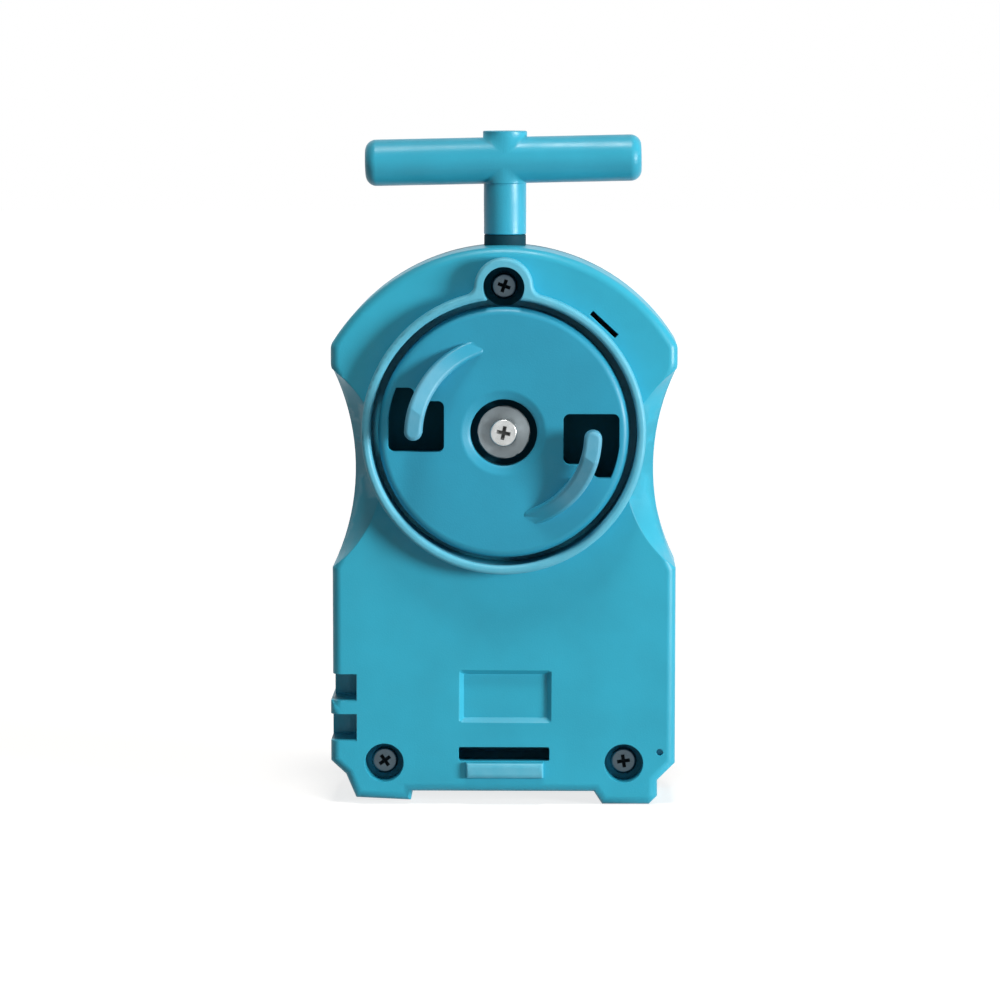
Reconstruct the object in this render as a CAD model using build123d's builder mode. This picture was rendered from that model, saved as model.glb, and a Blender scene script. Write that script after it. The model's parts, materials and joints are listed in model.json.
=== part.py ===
"""Pull-cord line reel: two-part case, geared cord spool with rewind spring, hooked drive disc, T-handle.

Frame: millimetres, +Z up, front towards -Y, origin under the middle of the case at the level of its feet.
Flat shapes are drawn on planes that face the front, where a sketch's x is the frame's X and its y is the
frame's Z. Depths are values of Y.
"""

import math
import os

from build123d import *

os.makedirs("parts", exist_ok=True)

# ---------------------------------------------------------------- case
case_depth = 20.0
wall = 2.0
head_r = 36.4
head_top_z = 101.05
shoulder_half_width = 31.2
shoulder_flank = 4.0
shoulder_radius = 2.4
shoulder_low_radius = 4.0
waist_inset = 4.2
body_half_width = 31.0
body_top_z = 43.2
body_low_z = 7.6
latch_side_step = 0.4
latch_side_chamfer = 0.3
front_rim_radius = 1.7
rear_rim_radius = 1.7
split_from_face = 12.3
tongue_height = 1.0
tongue_thickness = 0.9
tongue_gap = 0.08
scoop_inset = 9.3
scoop_depth = 4.6

# ---------------------------------------------------------------- feet
foot_height = 2.3
foot_inset = 3.2
foot_corner = 1.5
right_foot_inner_x = 17.8
right_foot_slope = 1.5
left_foot_inner_x = 16.9
left_foot_slope = 0.2
left_foot_lift = 0.65
# The left foot's outer flank: distance in from the body's side, and height
left_foot_flank = ((2.3, 5.4), (4.15, 1.1))

# ---------------------------------------------------------------- collar, well and disc
disc_axis_z = 68.0
collar_height = 4.0
collar_outer_r = 25.5
collar_wall = 1.6
collar_edge_radius = 0.7
well_depth = 9.0
well_floor = 2.0
disc_r = 22.5
disc_below_collar = 0.5
disc_plate = 2.0
disc_skirt_depth = 7.0
disc_skirt_wall = 1.2
disc_rim_radius = 1.4
disc_hub_r = 7.4
disc_hub_gap = 0.2
disc_recess_r = 6.0
disc_recess_depth = 2.5
disc_groove_depth = 2.4
washer_seat_step = 0.15
disc_dish_r = 7.9
disc_dish_depth = 0.7

# ---------------------------------------------------------------- hooks
hook_r = 16.0
hook_width = 3.2
hook_height = 6.5
hook_root_angle = 107.0
hook_tip_angle = 177.5
hook_root_height = 0.2
hook_undercut = 2.6
hook_edge_radius = 0.8
window_outer_x = 20.7
window_inner_x = 10.7
window_low = 3.4
window_high = 8.1
window_inner_high = 5.7
window_corner = 1.1
window_rim = 0.9

# ---------------------------------------------------------------- shafts, pins and bushes
running_gap = 0.05
fixed_gap = 0.02
shaft_r = 2.0
shaft_flat = 1.5
bush_wall = 1.2
bush_flange_r = 4.6
bush_flange = 0.5
bush_boss_wall = 1.8
bush_boss_height = 2.2
rear_bush_length = 3.5
rear_bush_wall = 1.6
gear_hub_r = 3.4
axle_r = 1.5
axle_boss_r = 3.0
axle_boss_height = 2.0
idler_pin_r = 1.0
idler_boss_r = 2.4
idler_pin_skin = 0.8
idler_pin_back_skin = 2.2
pin_chamfer = 0.2

# ---------------------------------------------------------------- gears
gear_module = 0.8
spool_teeth = 44
idler_teeth = 14
output_teeth = 14
pressure_angle = 20.0
addendum_share = 0.9
dedendum_share = 1.25
tooth_backlash = 0.12
gear_root_step = 0.02
gear_width = 3.2
gear_gap = 0.6
pinion_side_gap = 0.1
spool_axis_z = 34.0

# ---------------------------------------------------------------- spool, cord and spring
cord_diameter = 1.3
groove_width = 3.0
drum_r = 13.0
drum_wall = 1.2
flange_r = 17.5
flange_thickness = 1.0
winding_r = 15.9
winding_side_gap = 0.1
winding_edge_radius = 0.6
cord_gap = 0.1
cord_bend_radius = 3.9
spool_hub_r = 3.0
spool_web = 1.4
spool_end_gap = 0.2
web_hole_r = 2.1
web_hole_count = 5
rim_ring = 2.1
rim_overlap = 0.5
arbor_r = 3.5
arbor_shoulder = 1.2
arbor_shoulder_gap = 1.2
washer_inset = 0.2
washer_thickness = 0.4
spring_thickness = 0.3
spring_turns = 7
spring_side_gap = 0.5
spring_cover_thickness = 0.4
spring_cover_r = 14.8
spring_cover_bore_gap = 0.8
cover_hole_r = 1.0
cover_hole_count = 3

# ---------------------------------------------------------------- screws, guide roller, eyelet
top_screw_z = 94.0
low_screw_x = 21.7
low_screw_z = 7.65
screw_shank_r = 1.3
screw_head_r = 2.35
screw_head_height = 1.7
screw_crown_radius = 0.75
screw_clearance = 0.15
screw_length = 12.0
screw_bore_spare = 0.8
screw_seat_from_face = 4.5
low_counterbore_r = 3.5
low_boss_r = 4.5
top_counterbore_r = 3.7
top_boss_outer_r = 5.3
top_boss_fillet = 2.0
inner_boss_wall = 1.1
roller_groove_r = 3.0
roller_flange_r = 4.2
roller_width = 4.2
roller_lip = 0.5
roller_end_gap = 0.2
roller_post_r = 2.2
eyelet_bore_r = 1.5
eyelet_neck_r = 2.6
eyelet_flange_r = 3.8
eyelet_top = 2.0
eyelet_inner_flange = 0.8
eyelet_bell_r = 1.8
eyelet_bell_lip = 0.2
eyelet_mouth_chamfer = 0.5
eyelet_seat_below_top = 0.2

# ---------------------------------------------------------------- face features
label_width = 16.7
label_height = 9.6
label_center = (0.25, 19.85)
label_depth = 1.0
label_draft = 40.0
label_corner_radius = 0.4
slot_width = 16.4
slot_height = 2.5
slot_corner_radius = 0.3
slot_center = (0.0, 9.3)
lip_width = 14.1
lip_height = 2.9
lip_center = (0.15, 6.4)
lip_proud = 1.3
lip_edge_radius = 0.9
latch_pocket_x = 26.7
latch_pocket_height = 4.8
latch_pocket_centers_z = (21.4, 14.1)
latch_pocket_depth = 9.0
latch_block_wall = 1.6
tell_slit_radius = 26.3
tell_slit_length = 6.2
tell_slit_width = 0.9
tell_slit_angle = 47.0
pin_mark_center = (28.2, 9.7)
pin_mark_r = 0.6
pin_mark_depth = 1.0
back_panel_margin = 5.0
back_panel_height = 27.0
back_panel_center_z = 26.9
back_panel_corner_radius = 2.0
back_panel_depth = 0.6
rib_thickness = 1.0
rib_height = 1.4
floor_rib_height = 1.0
floor_rib_count = 6

# ---------------------------------------------------------------- disc fasteners
disc_washer_r = 4.75
disc_washer_thickness = 0.8
disc_washer_bore_gap = 0.1
disc_washer_chamfer = 0.2
disc_screw_head_r = 2.5
disc_screw_head_height = 1.5
disc_screw_crown_radius = 0.6
disc_screw_r = 1.25
disc_screw_length = 7.0
disc_screw_tip_gap = 0.2

# ---------------------------------------------------------------- handle
handle_bar_r = 4.2
handle_bar_length = 50.1
handle_bar_shift = -0.3
handle_bar_above_seat = 13.4
handle_bar_tilt = 1.2
handle_end_radius = 2.0
handle_hub_r = 4.0
handle_hub_above_bar = 1.1
handle_stem_r = 3.85
handle_seat_gap = 0.05
handle_pocket_r = 2.5
handle_pocket_depth = 4.6
cord_hole_r = 0.9
knot_r = 1.95
knot_height = 3.2
knot_edge_radius = 1.28

# Tolerance for finding an edge or a face by its place
near = 0.01

# ---------------------------------------------------------------- depths that follow
overall_depth = case_depth + collar_height - disc_below_collar + hook_height
rear_y = overall_depth / 2
face_y = rear_y - case_depth
split_y = face_y + split_from_face
front_inner_y = face_y + wall
rear_inner_y = rear_y - wall
collar_top_y = face_y - collar_height
well_bottom_y = collar_top_y + well_depth
well_back_y = well_bottom_y + well_floor
disc_face_y = collar_top_y + disc_below_collar
disc_recess_y = disc_face_y + disc_recess_depth
disc_hub_back_y = well_bottom_y - bush_boss_height - 2 * disc_hub_gap
screw_seat_y = face_y + screw_seat_from_face
gear_front_y = well_back_y + gear_gap
gear_back_y = gear_front_y + gear_width
flange_y = gear_back_y + groove_width
flange_back_y = flange_y + flange_thickness
cord_y = split_y
roller_front_y = cord_y - roller_width / 2
roller_back_y = cord_y + roller_width / 2
rear_bush_front_y = rear_inner_y - rear_bush_length
axle_front_y = front_inner_y - wall / 2
idler_pin_front_y = well_bottom_y - bush_boss_height + idler_pin_skin
idler_pin_back_y = rear_inner_y - idler_pin_back_skin

# ---------------------------------------------------------------- places that follow
mean_half_width = (body_half_width + shoulder_half_width) / 2
waist_half_width = mean_half_width - waist_inset
scoop_half_width = mean_half_width - scoop_inset
head_center_z = head_top_z - head_r
shoulder_top_z = head_center_z + math.sqrt(head_r**2 - shoulder_half_width**2)
shoulder_bottom_z = shoulder_top_z - shoulder_flank
waist_mid_z = (body_top_z + shoulder_bottom_z) / 2
collar_inner_r = collar_outer_r - collar_wall
bush_outer_r = shaft_r + bush_wall
bush_boss_r = bush_outer_r + bush_boss_wall
eyelet_seat_z = head_top_z - eyelet_seat_below_top
eyelet_top_z = eyelet_seat_z + eyelet_top
eyelet_inner_z = head_top_z - wall
eyelet_bottom_z = eyelet_inner_z - eyelet_inner_flange
spool_pitch_r = gear_module * spool_teeth / 2
idler_pitch_r = gear_module * idler_teeth / 2
output_pitch_r = gear_module * output_teeth / 2
spool_to_idler = spool_pitch_r + idler_pitch_r
idler_to_output = idler_pitch_r + output_pitch_r
axis_distance = disc_axis_z - spool_axis_z
idler_rise = (spool_to_idler**2 - idler_to_output**2 + axis_distance**2) / (2 * axis_distance)
idler_side = math.sqrt(spool_to_idler**2 - idler_rise**2)
idler_center = (-idler_side, spool_axis_z + idler_rise)
disc_center = (0, disc_axis_z)
spool_center = (0, spool_axis_z)
top_screw_center = (0, top_screw_z)
low_screw_centers = [(-low_screw_x, low_screw_z), (low_screw_x, low_screw_z)]
# The top boss meets the collar where their circles cross
boss_rise = top_screw_z - disc_axis_z
boss_crossing_rise = (collar_outer_r**2 - top_boss_outer_r**2 + boss_rise**2) / (2 * boss_rise)
boss_crossing_x = math.sqrt(collar_outer_r**2 - boss_crossing_rise**2)


def facing(y, center=(0, 0)):
    """A sketch plane at depth y that faces the front, with its own origin at a centre on the face."""
    return Plane(origin=(center[0], y, center[1]), x_dir=(1, 0, 0), z_dir=(0, -1, 0))


def turning_plane(center):
    """A plane through an axis that runs front to back: sketch x is the radius, sketch y is the frame's Y."""
    return Plane(origin=(center[0], 0, center[1]), x_dir=(1, 0, 0), z_dir=(0, 0, 1))


def axis_at(center):
    """The front-to-back axis through a centre on the face."""
    return Axis((center[0], 0, center[1]), (0, 1, 0))


def case_sketch(waist_x):
    """The case seen from the front, with its waist drawn in to waist_x."""
    right_flank_x = body_half_width - foot_inset
    latch_step_z = latch_pocket_centers_z[0] - latch_pocket_height / 2
    with BuildSketch() as outline:
        with BuildLine():
            Polyline(
                (-body_half_width, body_top_z),
                (-body_half_width, latch_step_z),
                (-body_half_width - latch_side_step, latch_step_z),
                (-body_half_width - latch_side_step, body_low_z + latch_side_chamfer),
                *((inset - body_half_width, height) for inset, height in left_foot_flank),
                (-left_foot_inner_x, left_foot_lift),
                (left_foot_slope - left_foot_inner_x, foot_height),
                (right_foot_inner_x - right_foot_slope, foot_height),
                (right_foot_inner_x, 0),
                (right_flank_x - foot_corner, 0),
                (right_flank_x, foot_corner),
                (right_flank_x, body_low_z - foot_inset),
                (body_half_width, body_low_z),
                (body_half_width, body_top_z),
            )
            ThreePointArc(
                (body_half_width, body_top_z),
                (waist_x, waist_mid_z),
                (shoulder_half_width, shoulder_bottom_z),
            )
            Line((shoulder_half_width, shoulder_bottom_z), (shoulder_half_width, shoulder_top_z))
            ThreePointArc(
                (shoulder_half_width, shoulder_top_z),
                (0, head_top_z),
                (-shoulder_half_width, shoulder_top_z),
            )
            Line((-shoulder_half_width, shoulder_top_z), (-shoulder_half_width, shoulder_bottom_z))
            ThreePointArc(
                (-shoulder_half_width, shoulder_bottom_z),
                (-waist_x, waist_mid_z),
                (-body_half_width, body_top_z),
            )
        make_face()
        for corner_z, radius in ((shoulder_top_z, shoulder_radius), (shoulder_bottom_z, shoulder_low_radius)):
            fillet(outline.vertices().filter_by(lambda v: abs(v.Y - corner_z) < near), radius=radius)
    return outline.sketch


def waist_sketch(side, waist_x):
    """The region outside the waist on one side, side being -1 or 1."""
    reach = side * 2 * body_half_width
    with BuildSketch() as region:
        with BuildLine():
            ThreePointArc(
                (side * body_half_width, body_top_z),
                (side * waist_x, waist_mid_z),
                (side * shoulder_half_width, shoulder_bottom_z),
            )
            Polyline(
                (side * shoulder_half_width, shoulder_bottom_z),
                (reach, shoulder_bottom_z),
                (reach, body_top_z),
                (side * body_half_width, body_top_z),
            )
        make_face()
    return region.sketch


def involute_point(base_r, radius, turn):
    """The point at a radius on the involute of a base circle, turned by an angle in radians."""
    roll = math.sqrt((radius / base_r) ** 2 - 1)
    angle = turn + roll - math.atan(roll)
    return (radius * math.cos(angle), radius * math.sin(angle))


def gear_sketch(teeth, phase):
    """A gear with involute flanks. phase is the angle in degrees of the middle of its first tooth."""
    pitch_r = gear_module * teeth / 2
    base_r = pitch_r * math.cos(math.radians(pressure_angle))
    tip_r = pitch_r + addendum_share * gear_module
    root_r = pitch_r - dedendum_share * gear_module
    start_r = max(base_r, root_r) + gear_root_step
    half_thickness = (math.pi * gear_module / 2 - tooth_backlash) / 2 / pitch_r
    pitch_roll = math.sqrt((pitch_r / base_r) ** 2 - 1)
    turn = -half_thickness - (pitch_roll - math.atan(pitch_roll))
    low = involute_point(base_r, start_r, turn)
    middle = involute_point(base_r, (start_r + tip_r) / 2, turn)
    high = involute_point(base_r, tip_r, turn)
    inward = (root_r - gear_module / 2) / math.hypot(*low)
    foot = (low[0] * inward, low[1] * inward)
    with BuildSketch(Plane.XY) as tooth:
        with BuildLine():
            Line(foot, low)
            ThreePointArc(low, middle, high)
            ThreePointArc(high, (tip_r, 0), (high[0], -high[1]))
            ThreePointArc((high[0], -high[1]), (middle[0], -middle[1]), (low[0], -low[1]))
            Line((low[0], -low[1]), (foot[0], -foot[1]))
            Line((foot[0], -foot[1]), foot)
        make_face()
    with BuildSketch(Plane.XY) as gear:
        Circle(root_r)
        with PolarLocations(0, teeth, start_angle=phase):
            add(tooth.sketch)
    return gear.sketch


# The teeth are in mesh at rest: a tooth of the idler stands in a gap of each gear beside it.
to_idler = math.degrees(math.atan2(idler_rise, -idler_side))
idler_to_disc = math.degrees(math.atan2(axis_distance - idler_rise, idler_side))
spool_phase = to_idler
idler_phase = to_idler + 180 + 180 / idler_teeth
output_shift = (idler_to_disc - idler_phase) * idler_teeth / output_teeth
output_phase = idler_to_disc + 180 + 180 / output_teeth + output_shift

outline = case_sketch(waist_half_width)
scooped_outline = case_sketch(scoop_half_width)
case_lining = offset(outline, amount=-wall, mode=Mode.PRIVATE)
scooped_lining = offset(scooped_outline, amount=-wall, mode=Mode.PRIVATE)
tongue_outside = offset(outline, amount=-(wall - tongue_thickness), mode=Mode.PRIVATE)
groove_outside = offset(outline, amount=-(wall - tongue_thickness - tongue_gap), mode=Mode.PRIVATE)

# ================================================================ front cover
with BuildPart() as front_cover:
    with BuildSketch(facing(split_y)):
        add(outline)
    extrude(amount=split_y - face_y)
    rim = front_cover.faces().sort_by(Axis.Y)[0].outer_wire().edges()
    fillet(rim.filter_by(lambda e: abs(e.center().Z - waist_mid_z) > 5), radius=front_rim_radius)

    # Sloped finger scoops at both sides of the waist
    for side in (-1, 1):
        with BuildSketch(facing(face_y + scoop_depth)):
            add(waist_sketch(side, waist_half_width))
        with BuildSketch(facing(face_y)):
            add(waist_sketch(side, scoop_half_width))
        loft(ruled=True, mode=Mode.SUBTRACT)

    # Collar round the disc, with the top screw's boss, standing on the face
    with BuildSketch(facing(well_back_y)):
        with Locations(disc_center):
            Circle(collar_outer_r)
        with Locations(top_screw_center):
            Circle(top_boss_outer_r)
    extrude(amount=well_back_y - collar_top_y)
    upright = front_cover.edges().filter_by(Axis.Y).filter_by(lambda e: e.center().Y < face_y)
    junctions = upright.filter_by(lambda e: abs(abs(e.center().X) - boss_crossing_x) < near)
    fillet(junctions, radius=top_boss_fillet)
    fillet(front_cover.faces().sort_by(Axis.Y)[0].outer_wire().edges(), radius=collar_edge_radius)

    # Hollow inside, in two layers: the front one follows the scoops
    with BuildSketch(facing(well_back_y)):
        add(scooped_lining)
        with Locations(disc_center):
            Circle(collar_outer_r, mode=Mode.SUBTRACT)
        with Locations(top_screw_center):
            Circle(top_boss_outer_r, mode=Mode.SUBTRACT)
    extrude(amount=well_back_y - front_inner_y, mode=Mode.SUBTRACT)
    with BuildSketch(facing(split_y)):
        add(case_lining)
    extrude(amount=split_y - well_back_y, mode=Mode.SUBTRACT)

    # Bosses for the screws, the spool's axle, the idler's pin and the closed pockets of the latch side
    with BuildSketch(facing(split_y)):
        with Locations(*low_screw_centers):
            Circle(low_boss_r)
    extrude(amount=split_y - front_inner_y)
    with BuildSketch(facing(roller_front_y - roller_end_gap)):
        with Locations(top_screw_center):
            Circle(top_counterbore_r + inner_boss_wall)
    extrude(amount=roller_front_y - roller_end_gap - front_inner_y)
    with BuildSketch(facing(front_inner_y + axle_boss_height)):
        with Locations(spool_center):
            Circle(axle_boss_r)
    extrude(amount=axle_boss_height)
    with BuildSketch(facing(gear_front_y)):
        with Locations(idler_center):
            Circle(idler_boss_r)
    extrude(amount=gear_front_y - well_back_y)
    latch_block_high = latch_pocket_centers_z[0] + latch_pocket_height / 2 + latch_block_wall
    latch_block_low = latch_pocket_centers_z[1] - latch_pocket_height / 2 - latch_block_wall
    latch_block_inner = latch_pocket_x - latch_block_wall
    latch_block_outer = body_half_width - wall / 2
    latch_block_x = -(latch_block_inner + latch_block_outer) / 2
    latch_block_back_y = face_y + latch_pocket_depth + latch_block_wall
    with BuildSketch(facing(latch_block_back_y)):
        with Locations((latch_block_x, (latch_block_high + latch_block_low) / 2)):
            Rectangle(latch_block_outer - latch_block_inner, latch_block_high - latch_block_low)
    extrude(amount=latch_block_back_y - front_inner_y)

    # The well under the disc, with the bosses that stand on its floor
    with BuildSketch(facing(well_bottom_y)):
        with Locations(disc_center):
            Circle(collar_inner_r)
    extrude(amount=well_depth, mode=Mode.SUBTRACT)
    collar_top = front_cover.faces().sort_by(Axis.Y)[0]
    fillet(collar_top.inner_wires()[0].edges(), radius=collar_edge_radius)
    with BuildSketch(facing(well_bottom_y)):
        with Locations(disc_center):
            Circle(bush_boss_r)
        with Locations(idler_center):
            Circle(idler_boss_r)
    extrude(amount=bush_boss_height)

    # Bores for the bush, the idler's pin, the axle and the screws
    with BuildSketch(facing(gear_front_y)):
        with Locations(disc_center):
            Circle(bush_outer_r + fixed_gap)
    extrude(amount=gear_front_y - collar_top_y, mode=Mode.SUBTRACT)
    with BuildSketch(facing(gear_front_y)):
        with Locations(idler_center):
            Circle(idler_pin_r + fixed_gap)
    extrude(amount=gear_front_y - idler_pin_front_y, mode=Mode.SUBTRACT)
    with BuildSketch(facing(front_inner_y + axle_boss_height)):
        with Locations(spool_center):
            Circle(axle_r + fixed_gap)
    extrude(amount=front_inner_y + axle_boss_height - axle_front_y, mode=Mode.SUBTRACT)
    with BuildSketch(facing(split_y)):
        with Locations(top_screw_center, *low_screw_centers):
            Circle(screw_shank_r + screw_clearance)
    extrude(amount=split_y - screw_seat_y, mode=Mode.SUBTRACT)
    with BuildSketch(facing(screw_seat_y)):
        with Locations(top_screw_center):
            Circle(top_counterbore_r)
        with Locations(*low_screw_centers):
            Circle(low_counterbore_r)
    extrude(amount=screw_seat_y - collar_top_y, mode=Mode.SUBTRACT)

    # Recess for a label, latch slot with its lip, pockets of the latch side, tell-tale slit and pin mark
    with BuildSketch(facing(face_y)):
        with Locations(label_center):
            RectangleRounded(label_width, label_height, label_corner_radius)
    extrude(amount=-label_depth, taper=label_draft, mode=Mode.SUBTRACT)
    with BuildSketch(facing(face_y)):
        with Locations(lip_center):
            Rectangle(lip_width, lip_height)
    extrude(amount=lip_proud)
    lip_face = front_cover.faces().filter_by(lambda f: abs(f.center().Y - (face_y - lip_proud)) < near)
    fillet(lip_face.sort_by(SortBy.AREA)[0].edges(), radius=lip_edge_radius)
    with BuildSketch(facing(front_inner_y)):
        with Locations(slot_center):
            RectangleRounded(slot_width, slot_height, slot_corner_radius)
    extrude(amount=wall + lip_proud, mode=Mode.SUBTRACT)
    with BuildSketch(facing(face_y + latch_pocket_depth)):
        for pocket_z in latch_pocket_centers_z:
            with Locations((-latch_pocket_x - body_half_width / 2, pocket_z)):
                Rectangle(body_half_width, latch_pocket_height)
    extrude(amount=latch_pocket_depth, mode=Mode.SUBTRACT)
    with BuildSketch(facing(front_inner_y)):
        with Locations(disc_center):
            with PolarLocations(tell_slit_radius, 1, start_angle=tell_slit_angle):
                Rectangle(tell_slit_width, tell_slit_length)
    extrude(amount=wall, mode=Mode.SUBTRACT)
    with BuildSketch(facing(face_y + pin_mark_depth)):
        with Locations(pin_mark_center):
            Circle(pin_mark_r)
    extrude(amount=pin_mark_depth, mode=Mode.SUBTRACT)

    # Groove for the rear cover's tongue, and half of the eyelet's seat
    with BuildSketch(facing(split_y)):
        add(groove_outside)
        add(case_lining, mode=Mode.SUBTRACT)
    extrude(amount=tongue_height + tongue_gap, mode=Mode.SUBTRACT)
    with BuildSketch(Plane.XY.offset(eyelet_bottom_z)):
        with Locations((0, cord_y)):
            Circle(eyelet_neck_r + fixed_gap)
    extrude(amount=eyelet_top_z - eyelet_bottom_z, mode=Mode.SUBTRACT)
    with BuildSketch(Plane.XY.offset(eyelet_seat_z)):
        with Locations((0, cord_y)):
            Circle(eyelet_flange_r + running_gap)
    extrude(amount=eyelet_top, mode=Mode.SUBTRACT)
    with BuildSketch(Plane.XY.offset(eyelet_bottom_z)):
        with Locations((0, cord_y)):
            Circle(eyelet_flange_r + running_gap)
    extrude(amount=eyelet_inner_flange, mode=Mode.SUBTRACT)

front_cover.part.label = "front_cover"
export_step(front_cover.part, "parts/front_cover.step")

# ================================================================ rear cover
arbor_front_y = gear_back_y + washer_thickness + 2 * running_gap
with BuildPart() as rear_cover:
    with BuildSketch(facing(rear_y)):
        add(outline)
    extrude(amount=rear_y - split_y)
    rim = rear_cover.faces().sort_by(Axis.Y)[-1].outer_wire().edges()
    fillet(rim, radius=rear_rim_radius)

    # Tongue along the parting line, then the hollow through both
    with BuildSketch(facing(split_y)):
        add(tongue_outside)
    extrude(amount=tongue_height)
    with BuildSketch(facing(rear_inner_y)):
        add(case_lining)
    extrude(amount=rear_inner_y - split_y + tongue_height, mode=Mode.SUBTRACT)

    # Bosses, arbor post, bearing boss and the guide roller's post
    with BuildSketch(facing(rear_inner_y)):
        with Locations(*low_screw_centers):
            Circle(low_boss_r)
    extrude(amount=rear_inner_y - split_y)
    with BuildSketch(facing(rear_inner_y)):
        with Locations(spool_center):
            Circle(arbor_r)
    extrude(amount=rear_inner_y - arbor_front_y)
    with BuildSketch(facing(rear_inner_y)):
        with Locations(spool_center):
            Circle(arbor_r + arbor_shoulder)
    extrude(amount=rear_inner_y - flange_back_y - spring_cover_thickness - arbor_shoulder_gap)
    with BuildSketch(facing(rear_inner_y)):
        with Locations(idler_center):
            Circle(idler_boss_r)
    extrude(amount=rear_inner_y - gear_back_y - washer_thickness - pinion_side_gap)
    with BuildSketch(facing(rear_inner_y)):
        with Locations(disc_center):
            Circle(bush_outer_r + rear_bush_wall)
    extrude(amount=rear_bush_length)
    with BuildSketch(facing(rear_inner_y)):
        with Locations(top_screw_center):
            Circle(roller_flange_r)
    extrude(amount=rear_inner_y - roller_back_y - roller_end_gap)
    with BuildSketch(facing(rear_inner_y)):
        with Locations(top_screw_center):
            Circle(roller_post_r)
    extrude(amount=rear_inner_y - roller_front_y + roller_end_gap)

    # Stiffening ribs on the floor below and above the spool
    with BuildSketch(facing(rear_inner_y)):
        with Locations((0, low_screw_z)):
            Rectangle(2 * low_screw_x, rib_thickness)
        with Locations((0, (disc_axis_z + top_screw_z) / 2)):
            Rectangle(rib_thickness, top_screw_z - disc_axis_z)
        with Locations((0, (disc_axis_z + top_screw_z) / 2)):
            Rectangle(2 * scoop_half_width, rib_thickness)
    extrude(amount=rib_height)
    with BuildSketch(facing(rear_inner_y)):
        with Locations(spool_center):
            with PolarLocations((flange_r + arbor_r) / 2, floor_rib_count, start_angle=30):
                Rectangle(flange_r - arbor_r, rib_thickness)
    extrude(amount=floor_rib_height)

    # Blind bores
    with BuildSketch(facing(rear_inner_y)):
        with Locations(spool_center):
            Circle(axle_r + fixed_gap)
        with Locations(disc_center):
            Circle(bush_outer_r + fixed_gap)
    extrude(amount=rear_inner_y - front_inner_y, mode=Mode.SUBTRACT)
    with BuildSketch(facing(idler_pin_back_y)):
        with Locations(idler_center):
            Circle(idler_pin_r + fixed_gap)
    extrude(amount=rear_inner_y - gear_back_y, mode=Mode.SUBTRACT)
    with BuildSketch(facing(screw_seat_y + screw_length + screw_bore_spare)):
        with Locations(top_screw_center, *low_screw_centers):
            Circle(screw_shank_r + fixed_gap)
    extrude(amount=screw_length + screw_bore_spare, mode=Mode.SUBTRACT)

    # Shallow panel on the back, and half of the eyelet's seat
    with BuildSketch(facing(rear_y)):
        with Locations((0, back_panel_center_z)):
            RectangleRounded(
                2 * (body_half_width - back_panel_margin), back_panel_height, back_panel_corner_radius
            )
    extrude(amount=back_panel_depth, mode=Mode.SUBTRACT)
    with BuildSketch(Plane.XY.offset(eyelet_bottom_z)):
        with Locations((0, cord_y)):
            Circle(eyelet_neck_r + fixed_gap)
    extrude(amount=eyelet_top_z - eyelet_bottom_z, mode=Mode.SUBTRACT)
    with BuildSketch(Plane.XY.offset(eyelet_seat_z)):
        with Locations((0, cord_y)):
            Circle(eyelet_flange_r + running_gap)
    extrude(amount=eyelet_top, mode=Mode.SUBTRACT)
    with BuildSketch(Plane.XY.offset(eyelet_bottom_z)):
        with Locations((0, cord_y)):
            Circle(eyelet_flange_r + running_gap)
    extrude(amount=eyelet_inner_flange, mode=Mode.SUBTRACT)

rear_cover.part.label = "rear_cover"
export_step(rear_cover.part, "parts/rear_cover.step")

# ================================================================ case screws, three alike
with BuildPart() as case_screws:
    with BuildSketch(facing(screw_seat_y + screw_length)):
        with Locations(top_screw_center, *low_screw_centers):
            Circle(screw_shank_r)
    extrude(amount=screw_length)
    with BuildSketch(facing(screw_seat_y)):
        with Locations(top_screw_center, *low_screw_centers):
            Circle(screw_head_r)
    extrude(amount=screw_head_height)
    screw_top_y = screw_seat_y - screw_head_height
    crowns = case_screws.faces().filter_by(lambda f: abs(f.center().Y - screw_top_y) < near)
    fillet(crowns.edges(), radius=screw_crown_radius)
case_screws.part.label = "case_screws"
export_step(case_screws.part, "parts/case_screws.step")

# ================================================================ cord eyelet
with BuildPart() as cord_eyelet:
    with BuildSketch(Plane.XZ.offset(-cord_y)):
        with BuildLine():
            bell_end = eyelet_bottom_z + eyelet_bell_lip
            bell_start = bell_end + eyelet_bell_r
            Polyline(
                (eyelet_bore_r + eyelet_bell_r, bell_end),
                (eyelet_bore_r + eyelet_bell_r, eyelet_bottom_z),
                (eyelet_flange_r, eyelet_bottom_z),
                (eyelet_flange_r, eyelet_inner_z),
                (eyelet_neck_r, eyelet_inner_z),
                (eyelet_neck_r, eyelet_seat_z),
                (eyelet_flange_r, eyelet_seat_z),
                (eyelet_flange_r, eyelet_top_z),
                (eyelet_bore_r + eyelet_mouth_chamfer, eyelet_top_z),
                (eyelet_bore_r, eyelet_top_z - eyelet_mouth_chamfer),
                (eyelet_bore_r, bell_start),
            )
            RadiusArc((eyelet_bore_r, bell_start), (eyelet_bore_r + eyelet_bell_r, bell_end), -eyelet_bell_r)
        make_face()
    revolve(axis=Axis((0, cord_y, 0), (0, 0, 1)))
cord_eyelet.part.label = "cord_eyelet"
export_step(cord_eyelet.part, "parts/cord_eyelet.step")

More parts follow.
